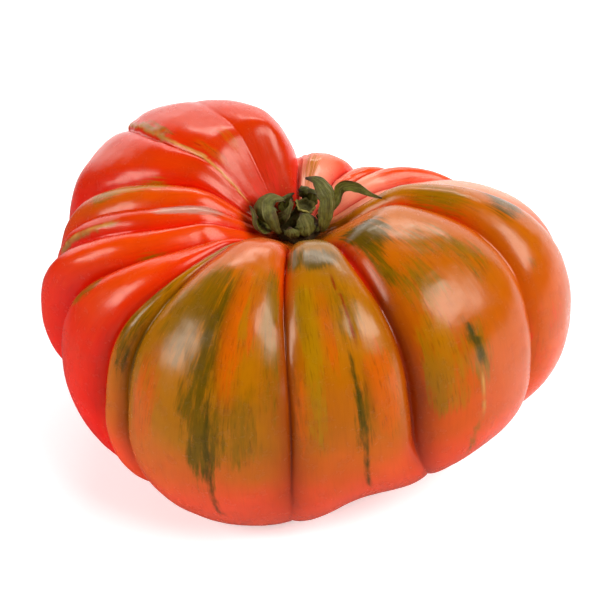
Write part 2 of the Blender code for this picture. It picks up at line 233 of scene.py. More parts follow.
def wanted_depth(rib, down):
    """How deep the furrow where each rib starts would be if its ribs were broad enough."""
    near_rim = np.interp(down, [0.0, MID_PIT, RIM, MID_SHOULDER, 1.0], [0.0, 0.5, 1.0, 0.5, 0.0])
    near_girth = np.interp(down, [RIM, MID_SHOULDER, GIRTH], [0.0, 0.5, 1.0])
    left_over = 1.0 - smooth_step(down, FADE_START, column("fade")[rib])
    return column("top_depth")[rib] * near_rim + column("side_depth")[rib] * near_girth * left_over


def furrow_depth(rib, across, down, radius):
    """How far each point is pressed in: most in the furrows, least on the rib's crest.

    A rib too narrow for its furrows is as deep as it has room for, and lies sunk between them.
    """
    start = wanted_depth(rib, down)
    end = wanted_depth((rib + 1) % len(RIBS), down)
    half_side = span("side")[rib] / 2.0
    half_top = span("top")[rib] / 2.0
    swing = smooth_step(down, SWING_START, GIRTH)
    room = FURROW_SHARE * np.radians(half_top * (1.0 - swing) + half_side * swing) * radius
    ease = np.clip(room, SMALLEST_EASE, FURROW_EASE)
    own_start = soft_minimum(start, room, ease)
    own_end = soft_minimum(end, room, ease)
    towards_end = smooth_step(across, -1.0, 1.0)
    sunk = (start - own_start) * (1.0 - towards_end) + (end - own_end) * towards_end

    # Broad ribs have square shoulders and narrow ones are round.
    width = span("side")[rib]
    power = np.interp(width, (NARROW_RIB, WIDE_RIB), FURROW_SQUARENESS)
    roundness = np.interp(width, (NARROW_RIB, WIDE_RIB), FURROW_ROUNDNESS)
    arc = 1.0 - (1.0 - np.abs(roundness * across) ** power) ** (1.0 / power)
    deepest = 1.0 - (1.0 - roundness**power) ** (1.0 / power)
    return np.where(across < 0.0, own_start, own_end) * arc / deepest + sunk


class Skin:
    """The fruit's grid of points, and where each one lies on the fruit.

    around is the azimuth at the girth, down runs from 0 in the stem pit to 1 at the blossom end,
    across runs from -1 to 1 over a rib, and along is the distance down the meridian.
    """

    def __init__(self):
        shares = span("side") ** COLUMN_SHARING
        counts = np.round(shares / shares.sum() * COLUMNS).astype(int)
        counts[np.argmax(counts)] += COLUMNS - counts.sum()
        self.rib = np.repeat(np.arange(len(RIBS)), counts)
        steps = [np.linspace(-1.0, 1.0, n, endpoint=False) for n in counts]
        self.across = np.concatenate([0.5 * s + 0.5 * np.sin(s * np.pi / 2.0) for s in steps])
        self.around = column("side")[self.rib] + span("side")[self.rib] * (self.across + 1.0) / 2.0
        ends = (0.0, RIM, GIRTH, FOOT, 1.0)
        rows = [np.linspace(a, b, n, endpoint=False) for a, b, n in zip(ends, ends[1:], ROWS_PER_STRETCH)]
        self.down = np.append(np.concatenate(rows), 1.0)[:, None]
        self.points = self.furrowed()
        self.measure()

    def furrowed(self):
        """The smooth fruit's points, pressed in along the meridian's normal at the furrows."""
        radius, height = meridian(self.around, self.down)
        turn_radius = np.gradient(radius, axis=0)
        turn_height = np.gradient(height, axis=0)
        length = np.hypot(turn_radius, turn_height) + TINY
        depth = furrow_depth(self.rib, self.across, self.down, radius)
        radius = np.maximum(radius + depth * turn_height / length, 0.0)
        height = height - depth * turn_radius / length
        azimuth = np.radians(self.azimuths())
        return stacked(radius * np.cos(azimuth), radius * np.sin(azimuth), height)

    def azimuths(self):
        """Each point's azimuth: a column swings round as it runs from the rim to the foot."""
        share = (self.across + 1.0) / 2.0
        fields = ("top", "side", "low")
        top, side, low = (column(field)[self.rib] + span(field)[self.rib] * share for field in fields)
        to_side = smooth_step(self.down, SWING_START, GIRTH)
        to_low = smooth_step(self.down, GIRTH, SWING_LOW)
        return top * (1.0 - to_side) + (side * (1.0 - to_low) + low * to_low) * to_side

    def measure(self):
        """The distance down each meridian, the step between each point's neighbours round its ring,
        and the millimetres to a degree there.
        """
        step = np.linalg.norm(np.diff(self.points, axis=0), axis=-1)
        self.along = np.concatenate([np.zeros((1, COLUMNS)), np.cumsum(step, axis=0)])
        self.round = np.roll(self.points, -1, axis=1) - np.roll(self.points, 1, axis=1)
        turn = np.mod(np.roll(self.around, -1) - np.roll(self.around, 1), 360.0)
        self.per_degree = np.linalg.norm(self.round, axis=-1) / turn

    def normals(self):
        normal = np.cross(np.gradient(self.points, axis=0), self.round)
        return normal / (np.linalg.norm(normal, axis=-1, keepdims=True) + TINY)

    def offset_from(self, around, down):
        """Millimetres across and down the skin from one spot."""
        row = np.round(np.interp(down, self.down[:, 0], np.arange(len(self.down)))).astype(int)
        turn = np.mod(self.around - around + 180.0, 360.0) - 180.0
        return turn * self.per_degree, self.along - self.along[row]


# ---- Noise ----

LATTICE_SIZE = 64


def value_noise(x, y, z, seed):
    """Smooth noise from -1 to 1 on a repeating lattice of random values."""
    values = np.random.default_rng(seed).uniform(-1.0, 1.0, (LATTICE_SIZE,) * 3)
    corner = [np.floor(c).astype(int) for c in (x, y, z)]
    share = [c - f for c, f in zip((x, y, z), corner)]
    share = [s * s * (3.0 - 2.0 * s) for s in share]
    total = 0.0
    for step in np.ndindex(2, 2, 2):
        weight = 1.0
        for s, d in zip(share, step):
            weight = weight * (s if d else 1.0 - s)
        spot = tuple((c + d) % LATTICE_SIZE for c, d in zip(corner, step))
        total = total + weight * values[spot]
    return total


def layered_noise(points, size, seed, layers=3):
    """Noise on points in millimetres: the first layer's lumps are size across, the next half."""
    total = 0.0
    strength = 1.0
    for layer in range(layers):
        x, y, z = (points[..., axis] / size + 17.3 * layer for axis in range(3))
        total = total + strength * value_noise(x, y, z, seed + layer)
        size /= 2.0
        strength /= 2.0
    return total


def grain_noise(skin, width, length, seed):
    """Noise drawn out down the meridians, as the streaks in the skin are."""
    return value_noise(skin.points[..., 0] / width, skin.points[..., 1] / width, skin.along / length, seed)


# ---- Colours of the skin ----


def srgb(*levels):
    """A colour given as 0 to 255 levels on a screen, as the linear values that a shader takes."""
    share = np.array(levels) / 255.0
    return np.where(share <= 0.04045, share / 12.92, ((share + 0.055) / 1.055) ** 2.4)


RED = srgb(208, 34, 0)
BRIGHT_RED = srgb(234, 28, 12)
# Painted glow: this deep red stands for light glowing red deep in the furrows.
FURROW_GLOW_RED = srgb(206, 2, 0)
# Dark red: the crack's own colour, and painted shade in the front furrows.
CRACK_AND_SHADE_RED = srgb(128, 22, 0)
ORANGE_RED = srgb(208, 60, 0)
WARM_RED = srgb(192, 46, 0)
BURNT_ORANGE = srgb(186, 76, 0)
ORANGE = srgb(174, 90, 0)
GOLD = srgb(164, 98, 0)
AMBER = srgb(168, 84, 0)
YELLOW_GREEN = srgb(156, 106, 0)
OLIVE = srgb(130, 86, 0)
DARK_OLIVE = srgb(86, 63, 0)
DARK_GREEN = srgb(62, 54, 6)
MOSS = srgb(104, 75, 0)
FLAME = srgb(190, 84, 0)
# Salmon: the skin's colour, and below the girth partly a painted reflection of the pale floor.
SALMON = srgb(232, 74, 38)
# Painted sheen: this pale salmon stands for the glint of the bright backdrop on the rear ribs.
PALE_SALMON_SHEEN = srgb(226, 140, 112)
# Pink: in the hump's pit it is a painted sheen.
PINK = srgb(216, 44, 30)
# Painted sheen: a grey-lilac glint for a left rib's crest.
LILAC_SHEEN = srgb(176, 120, 104)
TAN = srgb(198, 132, 62)
CORK = srgb(140, 98, 44)
# Corky brown: the ring's own colour, also used as painted shade in the pit.
CORK_BROWN_AND_SHADE = srgb(98, 44, 8)


# Each rib's colours: in the pit, on the rim, on the shoulder, at the girth and below it. The pale salmon
# on the rear ribs and the pink in the hump's pit are painted sheen, and the salmon below the girth is
# partly the skin's colour and partly a painted reflection of the pale floor.
GROUND_STATIONS = (0.0, 0.16, 0.31, 0.48, 0.6, 1.0)
# The rear ribs' rims are painted pale salmon as a painted sheen.
REAR = (SALMON, PALE_SALMON_SHEEN, SALMON, ORANGE_RED, SALMON)
GROUNDS = {
    "front_left": (ORANGE, BURNT_ORANGE, GOLD, GOLD, SALMON),
    "front_mid": (ORANGE, OLIVE, GOLD, ORANGE, SALMON),
    "front_right": (ORANGE, ORANGE, AMBER, BURNT_ORANGE, SALMON),
    "right": (ORANGE, GOLD, AMBER, BURNT_ORANGE, SALMON),
    # Painted sheen: the pale salmon on this rib's rim and shoulder.
    "right_rear": (ORANGE, PALE_SALMON_SHEEN, PALE_SALMON_SHEEN, ORANGE_RED, SALMON),
    **dict.fromkeys(("rear_right", "rear_middle", "notch_right", "notch_left", "notch_edge"), REAR),
    # Pink in the hump ribs' pit: a painted sheen.
    **dict.fromkeys(("hump_right", "hump_rear"), (PINK, WARM_RED, WARM_RED, RED, RED)),
    "hump_left": (ORANGE_RED, WARM_RED, WARM_RED, RED, BRIGHT_RED),
    "left_first": (ORANGE_RED, ORANGE_RED, BURNT_ORANGE, WARM_RED, BRIGHT_RED),
    "left_second": (ORANGE_RED, ORANGE_RED, WARM_RED, RED, BRIGHT_RED),
    **dict.fromkeys(("left_third", "left_fourth"), (ORANGE_RED, ORANGE_RED, ORANGE_RED, RED, BRIGHT_RED)),
    "left_fifth": (ORANGE_RED, OLIVE, GOLD, ORANGE, SALMON),
}
# How far across a rib, from 0 at its crest to 1, its colours start to blend into the next rib's.
BLEND_START = 0.75

# The furrows' colours past the rim. The dark red in the front furrows is painted shade; the rest keep the
# deep red painted glow.
FURROW_COLOURS = {
    "front_left": OLIVE, "front_mid": CRACK_AND_SHADE_RED, "front_right": CRACK_AND_SHADE_RED, "right": BURNT_ORANGE,
    "right_rear": SALMON, "rear_right": SALMON, "rear_middle": ORANGE_RED,
}

# The powers by which a furrow's colour fades up the rib: the deep red painted glow spreads the furthest.
RED_FADE = 2.0
OTHER_FADE = 5.0

# Where the corky brown ring round the stem ends, as shares of the way down. Past the cork itself it is
# painted shade in the pit under the calyx.
CORK_AND_SHADE_EDGE = (0.046, 0.08)


class Patch(NamedTuple):
    """A ragged patch of colour: its middle, its half sizes in millimetres and its strength."""

    around: float
    down: float
    wide: float
    tall: float
    colour: np.ndarray
    strength: float


PATCHES = [Patch(*row) for row in (
    # Front left rib: olive strokes, orange flames and a dark halo by the streak.
    (233, 0.32, 5, 12, OLIVE, 0.8),
    (240, 0.33, 4.5, 13, DARK_OLIVE, 0.5),
    (247, 0.35, 3, 14, DARK_OLIVE, 0.55),
    (262, 0.28, 3.5, 8, OLIVE, 0.8),
    (264, 0.38, 2.2, 12, OLIVE, 0.6),
    (246, 0.44, 5, 12, MOSS, 0.6),
    (249, 0.5, 3.6, 10, MOSS, 0.65),
    (257, 0.46, 4.5, 11, OLIVE, 0.6),
    (251, 0.31, 1.9, 12, FLAME, 0.95),
    (253, 0.38, 2.6, 8, FLAME, 0.8),
    (258, 0.3, 1.5, 8, FLAME, 0.9),
    (231, 0.47, 4, 13, FLAME, 0.8),
    # Front middle rib: smoky at the rim, yellow-green on the left and orange on the right.
    (272, 0.21, 2.4, 4, DARK_OLIVE, 0.7),
    (284, 0.215, 4.5, 3.2, DARK_OLIVE, 0.95),
    (276, 0.33, 2.6, 12, YELLOW_GREEN, 0.85),
    (275.5, 0.45, 2.2, 11, YELLOW_GREEN, 0.6),
    (274, 0.3, 1.3, 6, OLIVE, 0.8),
    (287, 0.3, 5, 7, OLIVE, 0.6),
    (287, 0.46, 2.4, 10, MOSS, 0.6),
    (281, 0.33, 1.8, 9, FLAME, 0.6),
    (293, 0.44, 3.6, 12, FLAME, 0.85),
    (271, 0.45, 1.8, 10, FLAME, 0.6),
    # Front right rib: a dark blotch by the calyx, olive patches high on the right.
    (311, 0.19, 5.4, 6, DARK_OLIVE, 0.95),
    (306, 0.26, 2.6, 7, MOSS, 0.6),
    (322, 0.25, 5, 6, OLIVE, 0.6),
    (327, 0.31, 4, 6, OLIVE, 0.55),
    (313, 0.3, 4.5, 6, OLIVE, 0.6),
    (306, 0.44, 2.6, 10, OLIVE, 0.65),
    (309, 0.42, 6, 13, GOLD, 0.7),
    (317, 0.43, 3.4, 8, OLIVE, 0.7),
    # Right rib.
    (352, 0.31, 5, 4.5, DARK_OLIVE, 0.8),
    (341, 0.22, 6, 8, OLIVE, 0.6),
    (342, 0.39, 1.4, 3, OLIVE, 0.4),
    (342, 0.5, 9, 9, PINK, 0.3),
    # Left ribs.
    (577, 0.36, 3.2, 12, MOSS, 0.6),
    (580, 0.43, 3, 7, DARK_OLIVE, 0.55),
    (552, 0.27, 2, 4, OLIVE, 0.6),
    (556, 0.38, 1.6, 8, OLIVE, 0.7),
    (528, 0.28, 2.6, 9, GOLD, 0.8),
    (530, 0.33, 1.6, 4, OLIVE, 0.7),
    # A painted sheen: the lilac-grey glint along this rib's crest.
    (535, 0.2, 1.8, 9, LILAC_SHEEN, 0.9),
    (486, 0.18, 1.6, 4, BURNT_ORANGE, 0.6),
    (493, 0.18, 1.4, 6, BURNT_ORANGE, 0.6),
    (493.5, 0.28, 1.8, 7, OLIVE, 0.6),
    # A painted sheen: a pink glint on the hump's slope into the pit.
    (480, 0.1, 6, 5, PINK, 0.4),
    # The notch behind the stem, and the pale ribs to its right.
    (437, 0.17, 2.2, 6, GOLD, 0.5),
    (382, 0.24, 3, 6, ORANGE_RED, 0.8),
    (398, 0.22, 2.4, 5, ORANGE_RED, 0.7),
)]


class Streak(NamedTuple):
    """A line down the skin, through (around, down) spots. Its depth is below 0 where it is raised."""

    spots: tuple
    half_width: float
    colour: np.ndarray
    strength: float
    depth: float
    roughness: float


STREAKS = [Streak(*row) for row in (
    # The dark green streaks down the front ribs.
    (((245.5, 0.3), (247.5, 0.38), (249.5, 0.44)), 0.8, DARK_GREEN, 0.32, 0.0, 0.8),
    (((248.6, 0.42), (249.6, 0.49), (250.2, 0.55), (251, 0.62)), 0.75, DARK_GREEN, 0.68, 0.06, 0.5),
    (((285.5, 0.36), (286, 0.42), (286.5, 0.5), (287, 0.6)), 0.65, DARK_GREEN, 0.75, 0.08, 0.35),
    (((316, 0.37), (317, 0.41), (317.5, 0.46)), 1.1, DARK_GREEN, 0.85, 0.1, 0.6),
    (((317, 0.455), (317, 0.5), (315.5, 0.53)), 0.5, TAN, 0.95, -0.15, 0.6),
    (((316, 0.52), (314.5, 0.55), (313, 0.61)), 0.9, OLIVE, 0.6, 0.05, 0.5),
    # The thin brown crack on the front middle rib.
    (((286.5, 0.24), (288, 0.3), (288, 0.37)), 0.28, CRACK_AND_SHADE_RED, 0.75, 0.1, 0.8),
    # The corky line in the hump's furrow, and the tan scar below the left ribs.
    (((495.5, 0.09), (495, 0.18), (494.4, 0.27), (494.2, 0.42)), 0.42, TAN, 0.98, -0.25, 0.4),
    (((494.4, 0.24), (494, 0.29), (494, 0.4)), 0.9, CORK, 0.6, -0.2, 0.9),
    (((536.4, 0.29), (536.6, 0.33), (536.8, 0.38), (536.8, 0.46)), 0.7, CORK, 0.95, -0.2, 0.35),
    (((536.4, 0.3), (536.6, 0.35), (536.8, 0.44)), 0.3, TAN, 0.9, -0.1, 0.5),
)]


def ground_colour(skin):
    """Each rib's colours from pit to foot, blended into the next rib's at the furrow."""
    stations = np.array(GROUND_STATIONS)
    tables = np.array([[*GROUNDS[rib.name], GROUNDS[rib.name][-1]] for rib in RIBS])
    wander = 0.02 * layered_noise(skin.points, 9.0, 11)
    place = np.clip(skin.down + wander * smooth_step(skin.down, 0.05, 0.15), 0.0, 1.0)
    first = np.clip(np.searchsorted(stations, place, side="right") - 1, 0, len(stations) - 2)
    share = smooth_step(place, stations[first], stations[first + 1])[..., None]

    def of_rib(step):
        rib = (skin.rib + step) % len(RIBS)
        return tables[rib, first] * (1.0 - share) + tables[rib, first + 1] * share

    to_before = 0.5 * smooth_step(-skin.across, BLEND_START, 1.0)[:, None]
    to_after = 0.5 * smooth_step(skin.across, BLEND_START, 1.0)[:, None]
    return of_rib(0) * (1.0 - to_before - to_after) + of_rib(-1) * to_before + of_rib(1) * to_after


def mix(colours, colour, share):
    share = np.clip(share, 0.0, 1.0)[..., None]
    return colours * (1.0 - share) + colour * share


def skin_colours(skin):
    """The smooth colours of the ribs, the painted glow and shade in their furrows, and the corky ring
    round the stem, which spreads into painted shade in the pit.
    """
    colours = mix(ground_colour(skin), *furrow_colour(skin))
    ragged = 0.012 * layered_noise(skin.points, 1.5, 33)
    # The corky ring round the stem, widened into painted shade in the pit under the calyx.
    colours = mix(colours, CORK_BROWN_AND_SHADE, 0.8 * (1.0 - smooth_step(skin.down + ragged, *CORK_AND_SHADE_EDGE)))
    lumps = layered_noise(skin.points, 6.0, 31)
    return np.clip(colours * (1.0 + 0.05 * lumps[..., None]), 0.0, 1.0)


def patch_layer(skin):
    """The patches' blended colour, and a soft cover that the material breaks into strokes."""
    lumps = layered_noise(skin.points, 5.0, 32)
    left_over = np.ones(skin.along.shape)
    total = np.full(skin.along.shape, TINY)
    colours = np.zeros(skin.points.shape) + OLIVE * TINY
    for patch in PATCHES:
        across, along = skin.offset_from(patch.around, patch.down)
        distance = np.hypot(across / patch.wide, along / patch.tall) + 0.15 * lumps
        cover = patch.strength * (1.0 - smooth_step(distance, 0.3, 1.3))
        left_over = left_over * (1.0 - cover)
        total = total + cover
        colours = colours + patch.colour * cover[..., None]
    return colours / total[..., None], 1.0 - left_over


def streak_layer(skin):
    """The same for the narrow streaks and scars, which lie over everything else."""
    colours = np.zeros(skin.points.shape) + DARK_GREEN
    cover = np.zeros(skin.along.shape)
    for streak in STREAKS:
        here = streak.strength * streak_cover(skin, streak)
        colours = mix(colours, streak.colour, here / np.maximum(cover, FAINT))
        cover = np.maximum(cover, here)
    return colours, cover


def furrow_colour(skin):
    """Each furrow's colour and how much it covers: deep red painted glow at the rim, and in most all the
    way, and dark red painted shade in the front ones.
    """
    nearest = np.where(skin.across < 0.0, skin.rib, (skin.rib + 1) % len(RIBS))
    table = np.array([FURROW_COLOURS.get(rib.name, FURROW_GLOW_RED) for rib in RIBS])
    red = np.array([rib.name not in FURROW_COLOURS for rib in RIBS])[nearest]
    edge = np.abs(skin.across) ** np.where(red, RED_FADE, OTHER_FADE)
    edge = edge * (1.0 - smooth_step(skin.down, 0.52, 0.72)) * smooth_step(skin.down, 0.03, 0.12)
    past_rim = smooth_step(skin.down, 0.22, 0.32)[..., None]
    colour = FURROW_GLOW_RED * (1.0 - past_rim) + table[nearest] * past_rim
    return colour, 0.9 * edge * smooth_step(column("side_depth")[nearest], 0.5, 2.5)


def streak_cover(skin, streak):
    """1 on the streak, falling to 0 at its ragged edges and its tapered ends."""
    spots = np.array(streak.spots, float)
    centre = np.interp(skin.down, spots[:, 1], spots[:, 0])
    turn = np.mod(skin.around - centre + 180.0, 360.0) - 180.0
    wobble = streak.roughness * (grain_noise(skin, 0.7, 2.5, 51) + 0.6 * grain_noise(skin, 1.9, 7.0, 52))
    distance = np.abs(turn * skin.per_degree / streak.half_width + wobble)
    first = spots[0, 1]
    last = spots[-1, 1]
    taper = smooth_step(skin.down, first - 0.01, first + 0.02)
    taper = taper * (1.0 - smooth_step(skin.down, last - 0.03, last + 0.01))
    return (1.0 - smooth_step(distance, 0.35, 1.3)) * taper


def relief(skin):
    """Millimetres to move each point out: soft lumps, faint ridges down the ribs, and scars."""
    easy = smooth_step(skin.down, 0.02, 0.1) * (1.0 - smooth_step(skin.down, 0.8, 0.95))
    height = 0.16 * layered_noise(skin.points, 11.0, 61, 2) + 0.05 * grain_noise(skin, 1.6, 18.0, 62)
    height = height * easy
    for streak in STREAKS:
        height = height - streak.depth * streak_cover(skin, streak)
    return height


# ---- Meshes ----


def settled(points):
    """The underside pressed flat, with the sunken blossom scar in its middle."""
    flat = np.maximum(points[..., 2] - SETTLE, 0.0)
    radius = np.hypot(points[..., 0], points[..., 1])
    scar = SCAR_DEPTH * np.clip(1.0 - (radius / SCAR_RADIUS) ** 2, 0.0, 1.0) ** 2
    return flat + np.where(points[..., 2] < PIT_HEIGHT / 2.0, scar, 0.0)


def into_box(points, box):
    """The points moved and very slightly scaled to fill the CAD node's box, in metres."""
    low, high = (np.array(corner) for corner in box)
    own_low = points.min(axis=(0, 1))
    own_high = points.max(axis=(0, 1))
    return low + (points - own_low) / (own_high - own_low) * (high - low)


def stem_axis(skin):
    """Where the stem axis stands in the frame, in millimetres, from the fruit's box."""
    level = skin.points[..., :2]
    middle = (level.min(axis=(0, 1)) + level.max(axis=(0, 1))) / 2.0
    low, high = (np.array(corner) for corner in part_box("fruit"))
    return np.append((low + high)[:2] / 2.0 / MM - middle, -SETTLE)


def grid_faces(rows, columns):
    """Corner numbers of the four-sided faces of a grid of closed rings, ring by ring."""
    faces = []
    for row in range(rows - 1):
        for here in range(columns):
            ahead = (here + 1) % columns
            a = row * columns
            b = a + columns
            faces.append((a + here, b + here, b + ahead, a + ahead))
    return faces


def add_object(name, data):
    made = bpy.data.objects.new(name, data)
    bpy.context.scene.collection.objects.link(made)
    return made


def new_piece(name, vertices, faces, material, node):
    """A smooth mesh in metres that rides on the one body and stands for a CAD node."""
    mesh = bpy.data.meshes.new(name)
    mesh.from_pydata([tuple(v) for v in vertices], [], faces)
    mesh.validate()
    mesh.shade_smooth()
    mesh.materials.append(material)
    made = add_object(name, mesh)
    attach(made, "root")
    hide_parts(node)
    return made


def add_colour(mesh, name, colours):
    """Colours on the mesh's points, three linear values each."""
    attribute = mesh.attributes.new(name, "FLOAT_COLOR", "POINT")
    values = np.ones((len(colours), 4), np.float32)
    values[:, :3] = colours
    attribute.data.foreach_set("color", values.ravel())


def add_vector(mesh, name, vectors):
    """Vectors on the mesh's points, for its material to read."""
    attribute = mesh.attributes.new(name, "FLOAT_VECTOR", "POINT")
    attribute.data.foreach_set("vector", np.asarray(vectors, np.float32).ravel())


def by_vertex(values):
    """The grid's values in the order of the fruit's vertices: the rings, then its two ends."""
    return np.concatenate([values[1:-1].reshape(-1, 3), values[:1, 0], values[-1:, 0]])


def fruit_faces(rings):
    """The faces between the rings, and the triangles that close the stem end and the blossom end."""
    faces = grid_faces(rings, COLUMNS)
    stem_end = rings * COLUMNS
    last = (rings - 1) * COLUMNS
    for here in range(COLUMNS):
        ahead = (here + 1) % COLUMNS
        faces.append((stem_end, here, ahead))
        faces.append((last + here, stem_end + 1, last + ahead))
    return faces


def make_fruit(skin, material):
    points = skin.points + skin.normals() * relief(skin)[..., None]
    points[..., 2] = settled(points)
    vertices = by_vertex(into_box(points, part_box("fruit")))
    fruit = new_piece("tomato_fruit", vertices, fruit_faces(len(skin.down) - 2), material, "fruit")
    patch_colours, patch_cover = patch_layer(skin)
    streak_colours, streaks = streak_layer(skin)
    add_colour(fruit.data, "skin_colour", by_vertex(skin_colours(skin)))
    add_colour(fruit.data, "patch_colour", by_vertex(patch_colours))
    add_colour(fruit.data, "streak_colour", by_vertex(streak_colours))
    add_vector(fruit.data, "skin_cover", by_vertex(stacked(patch_cover, streaks, 0.0)))
    place = stacked(np.radians(skin.around), skin.along / 100.0, skin.down)
    add_vector(fruit.data, "skin_place", by_vertex(place))


# ---- Materials ----


class Nodes:
    """Short calls that add shader nodes to one material and link them."""

    def __init__(self, name):
        self.material = bpy.data.materials.new(name)
        self.material.use_nodes = True
        self.tree = self.material.node_tree
        self.shader = self.tree.nodes["Principled BSDF"]
        self.position = self.add("NewGeometry").outputs["Position"]

    def add(self, kind, links=(), **settings):
        node = self.tree.nodes.new("ShaderNode" + kind)
        for key, value in settings.items():
            setattr(node, key, value)
        for socket, source in dict(links).items():
            self.put(node.inputs[socket], source)
        return node

    def put(self, socket, source):
        if isinstance(source, bpy.types.NodeSocket):
            self.tree.links.new(source, socket)
        else:
            socket.default_value = source

    def noise(self, vector, scale, detail=3.0, roughness=0.55):
        links = {"Vector": vector, "Scale": scale, "Detail": detail, "Roughness": roughness}
        return self.add("TexNoise", links).outputs["Fac"]

    def strokes(self, place, scale, detail=3.0, roughness=0.55):
        """Noise drawn out down the skin: scale says how fine it is round the fruit and down it."""
        return self.noise(self.stretched(place, (*scale, 0.0)), 1.0, detail, roughness)

    def ramp(self, value, low, high, to_low=0.0, to_high=1.0):
        links = {"Value": value, "From Min": low, "From Max": high, "To Min": to_low, "To Max": to_high}
        return self.add("MapRange", links, interpolation_type="SMOOTHSTEP").outputs["Result"]

    def maths(self, operation, first, second=0.0):
        return self.add("Math", {0: first, 1: second}, operation=operation).outputs[0]

    def times(self, first, second):
        return self.maths("MULTIPLY", first, second)

    def blend(self, kind, share, first, second):
        """Two colours blended: 6 and 7 are the Mix node's colour inputs, and 2 its colour output."""
        node = self.add("Mix", {0: share, 6: first, 7: second}, data_type="RGBA", blend_type=kind)
        return node.outputs[2]

    def attribute(self, name, output):
        return self.add("Attribute", attribute_name=name).outputs[output]

    def stretched(self, vector, scale):
        return self.add("Mapping", {"Vector": vector, "Scale": scale}).outputs["Vector"]

    def bump(self, height, strength, distance, after=None):
        links = {"Height": height, "Strength": strength, "Distance": distance}
        if after is not None:
            links["Normal"] = after
        return self.add("Bump", links).outputs["Normal"]

    def set(self, **values):
        for key, value in values.items():
            self.put(self.shader.inputs[key.replace("_", " ")], value)


def broken_up(n, cover, noise, push, low, high, full):
    """A soft cover given rough edges by a noise, and kept off the skin where there is no cover."""
    pushed = n.times(n.maths("SUBTRACT", noise, 0.5), push)
    share = n.ramp(n.maths("ADD", cover, pushed), low, high)
    return n.times(share, n.ramp(cover, 0.0, full))


def patched(n, place, cover):
    """The ribs' own colours, and over them the patches, broken into strokes down the skin."""
    strokes = n.strokes(place, (62.0, 15.0), 5.0, 0.72)
    wide_strokes = n.strokes(place, (15.0, 5.0), 3.0, 0.6)
    ragged = n.maths("ADD", n.times(strokes, 0.65), n.times(wide_strokes, 0.35))
    patch = broken_up(n, cover, ragged, 2.8, 0.2, 0.8, 0.15)
    return n.blend("MIX", patch, n.attribute("skin_colour", "Color"), n.attribute("patch_colour", "Color"))


def grained(n, place, cover, mottle, tint):
    """Fine darker and redder grain, short dashes that crowd on the patches, and a faint mottle."""
    grain = n.strokes(place, (70.0, 14.0), 4.0, 0.65)
    tint = n.blend("MULTIPLY", n.ramp(grain, 0.48, 0.75, 0.0, 0.4), tint, (0.78, 0.66, 0.5, 1.0))
    tint = n.blend("MIX", n.ramp(grain, 0.45, 0.22, 0.0, 0.12), tint, (0.75, 0.16, 0.0, 1.0))
    dashes = n.strokes(place, (110.0, 26.0), 3.0, 0.6)
    dashed = n.times(n.ramp(dashes, 0.54, 0.64), n.ramp(cover, 0.05, 0.5, 0.06, 0.5))
    tint = n.blend("MULTIPLY", dashed, tint, (0.52, 0.5, 0.35, 1.0))
    return n.blend("MULTIPLY", n.ramp(mottle, 0.5, 0.7, 0.0, 0.25), tint, (0.8, 0.72, 0.6, 1.0))


def streaked(n, place, cover, tint):
    """The streaks and scars over the rest, with rough edges."""
    streak = broken_up(n, cover, n.strokes(place, (90.0, 40.0), 4.0, 0.7), 1.1, 0.05, 1.0, 0.12)
    return n.blend("MIX", streak, tint, n.attribute("streak_colour", "Color"))


def speckled(n, tint):
    """Small pale dots, in loose groups."""
    dots = n.add("TexVoronoi", {"Vector": n.position, "Scale": 620.0}, feature="F1").outputs["Distance"]
    grouped = n.ramp(n.noise(n.position, 70.0, 2.0), 0.52, 0.66)
    speck = n.times(n.ramp(dots, 0.12, 0.05), grouped)
    return n.blend("MIX", n.times(speck, 0.2), tint, (0.8, 0.36, 0.1, 1.0))


def skin_material():
    n = Nodes("tomato_skin")
    place = n.attribute("skin_place", "Vector")
    cover = n.add("SeparateXYZ", {0: n.attribute("skin_cover", "Vector")}).outputs
    mottle = n.noise(n.position, 420.0, 4.0, 0.6)
    tint = grained(n, place, cover["X"], mottle, patched(n, place, cover["X"]))
    tint = speckled(n, streaked(n, place, cover["Y"], tint))
    ridges = n.strokes(place, (60.0, 7.0))
    pores = n.noise(n.position, 1500.0, 2.0)
    normal = n.bump(pores, 0.04, 0.0002, n.bump(ridges, 0.06, 0.0004))
    n.set(Base_Color=tint, Normal=normal, Roughness=n.ramp(mottle, 0.3, 0.7, 0.2, 0.29))
    n.set(IOR=1.41, Specular_Tint=(1.0, 0.86, 0.72, 1.0))
    n.set(Subsurface_Weight=0.05, Subsurface_Radius=(1.0, 0.25, 0.08), Subsurface_Scale=0.002)
    return n.material


def leaf_material():
    n = Nodes("dried_sepal")
    tint = n.attribute("leaf_colour", "Color")
    mottle = n.noise(n.position, 700.0, 4.0, 0.65)
    fibres = n.noise(n.stretched(n.attribute("leaf_place", "Vector"), (9.0, 3.5, 1.0)), 1.0, 5.0, 0.7)
    spotted = n.blend("MULTIPLY", n.ramp(mottle, 0.42, 0.68, 0.0, 0.6), tint, (0.42, 0.36, 0.25, 1.0))
    streaked = n.blend("MULTIPLY", n.ramp(fibres, 0.55, 0.35, 0.0, 0.8), spotted, (0.45, 0.36, 0.22, 1.0))
    dusty = n.blend("MIX", n.ramp(fibres, 0.55, 0.78, 0.0, 0.55), streaked, (0.3, 0.28, 0.12, 1.0))
    normal = n.bump(fibres, 0.6, 0.0005, n.bump(mottle, 0.4, 0.0005))
    n.set(Base_Color=dusty, Roughness=0.68, Normal=normal, Specular_IOR_Level=0.35)
    return n.material


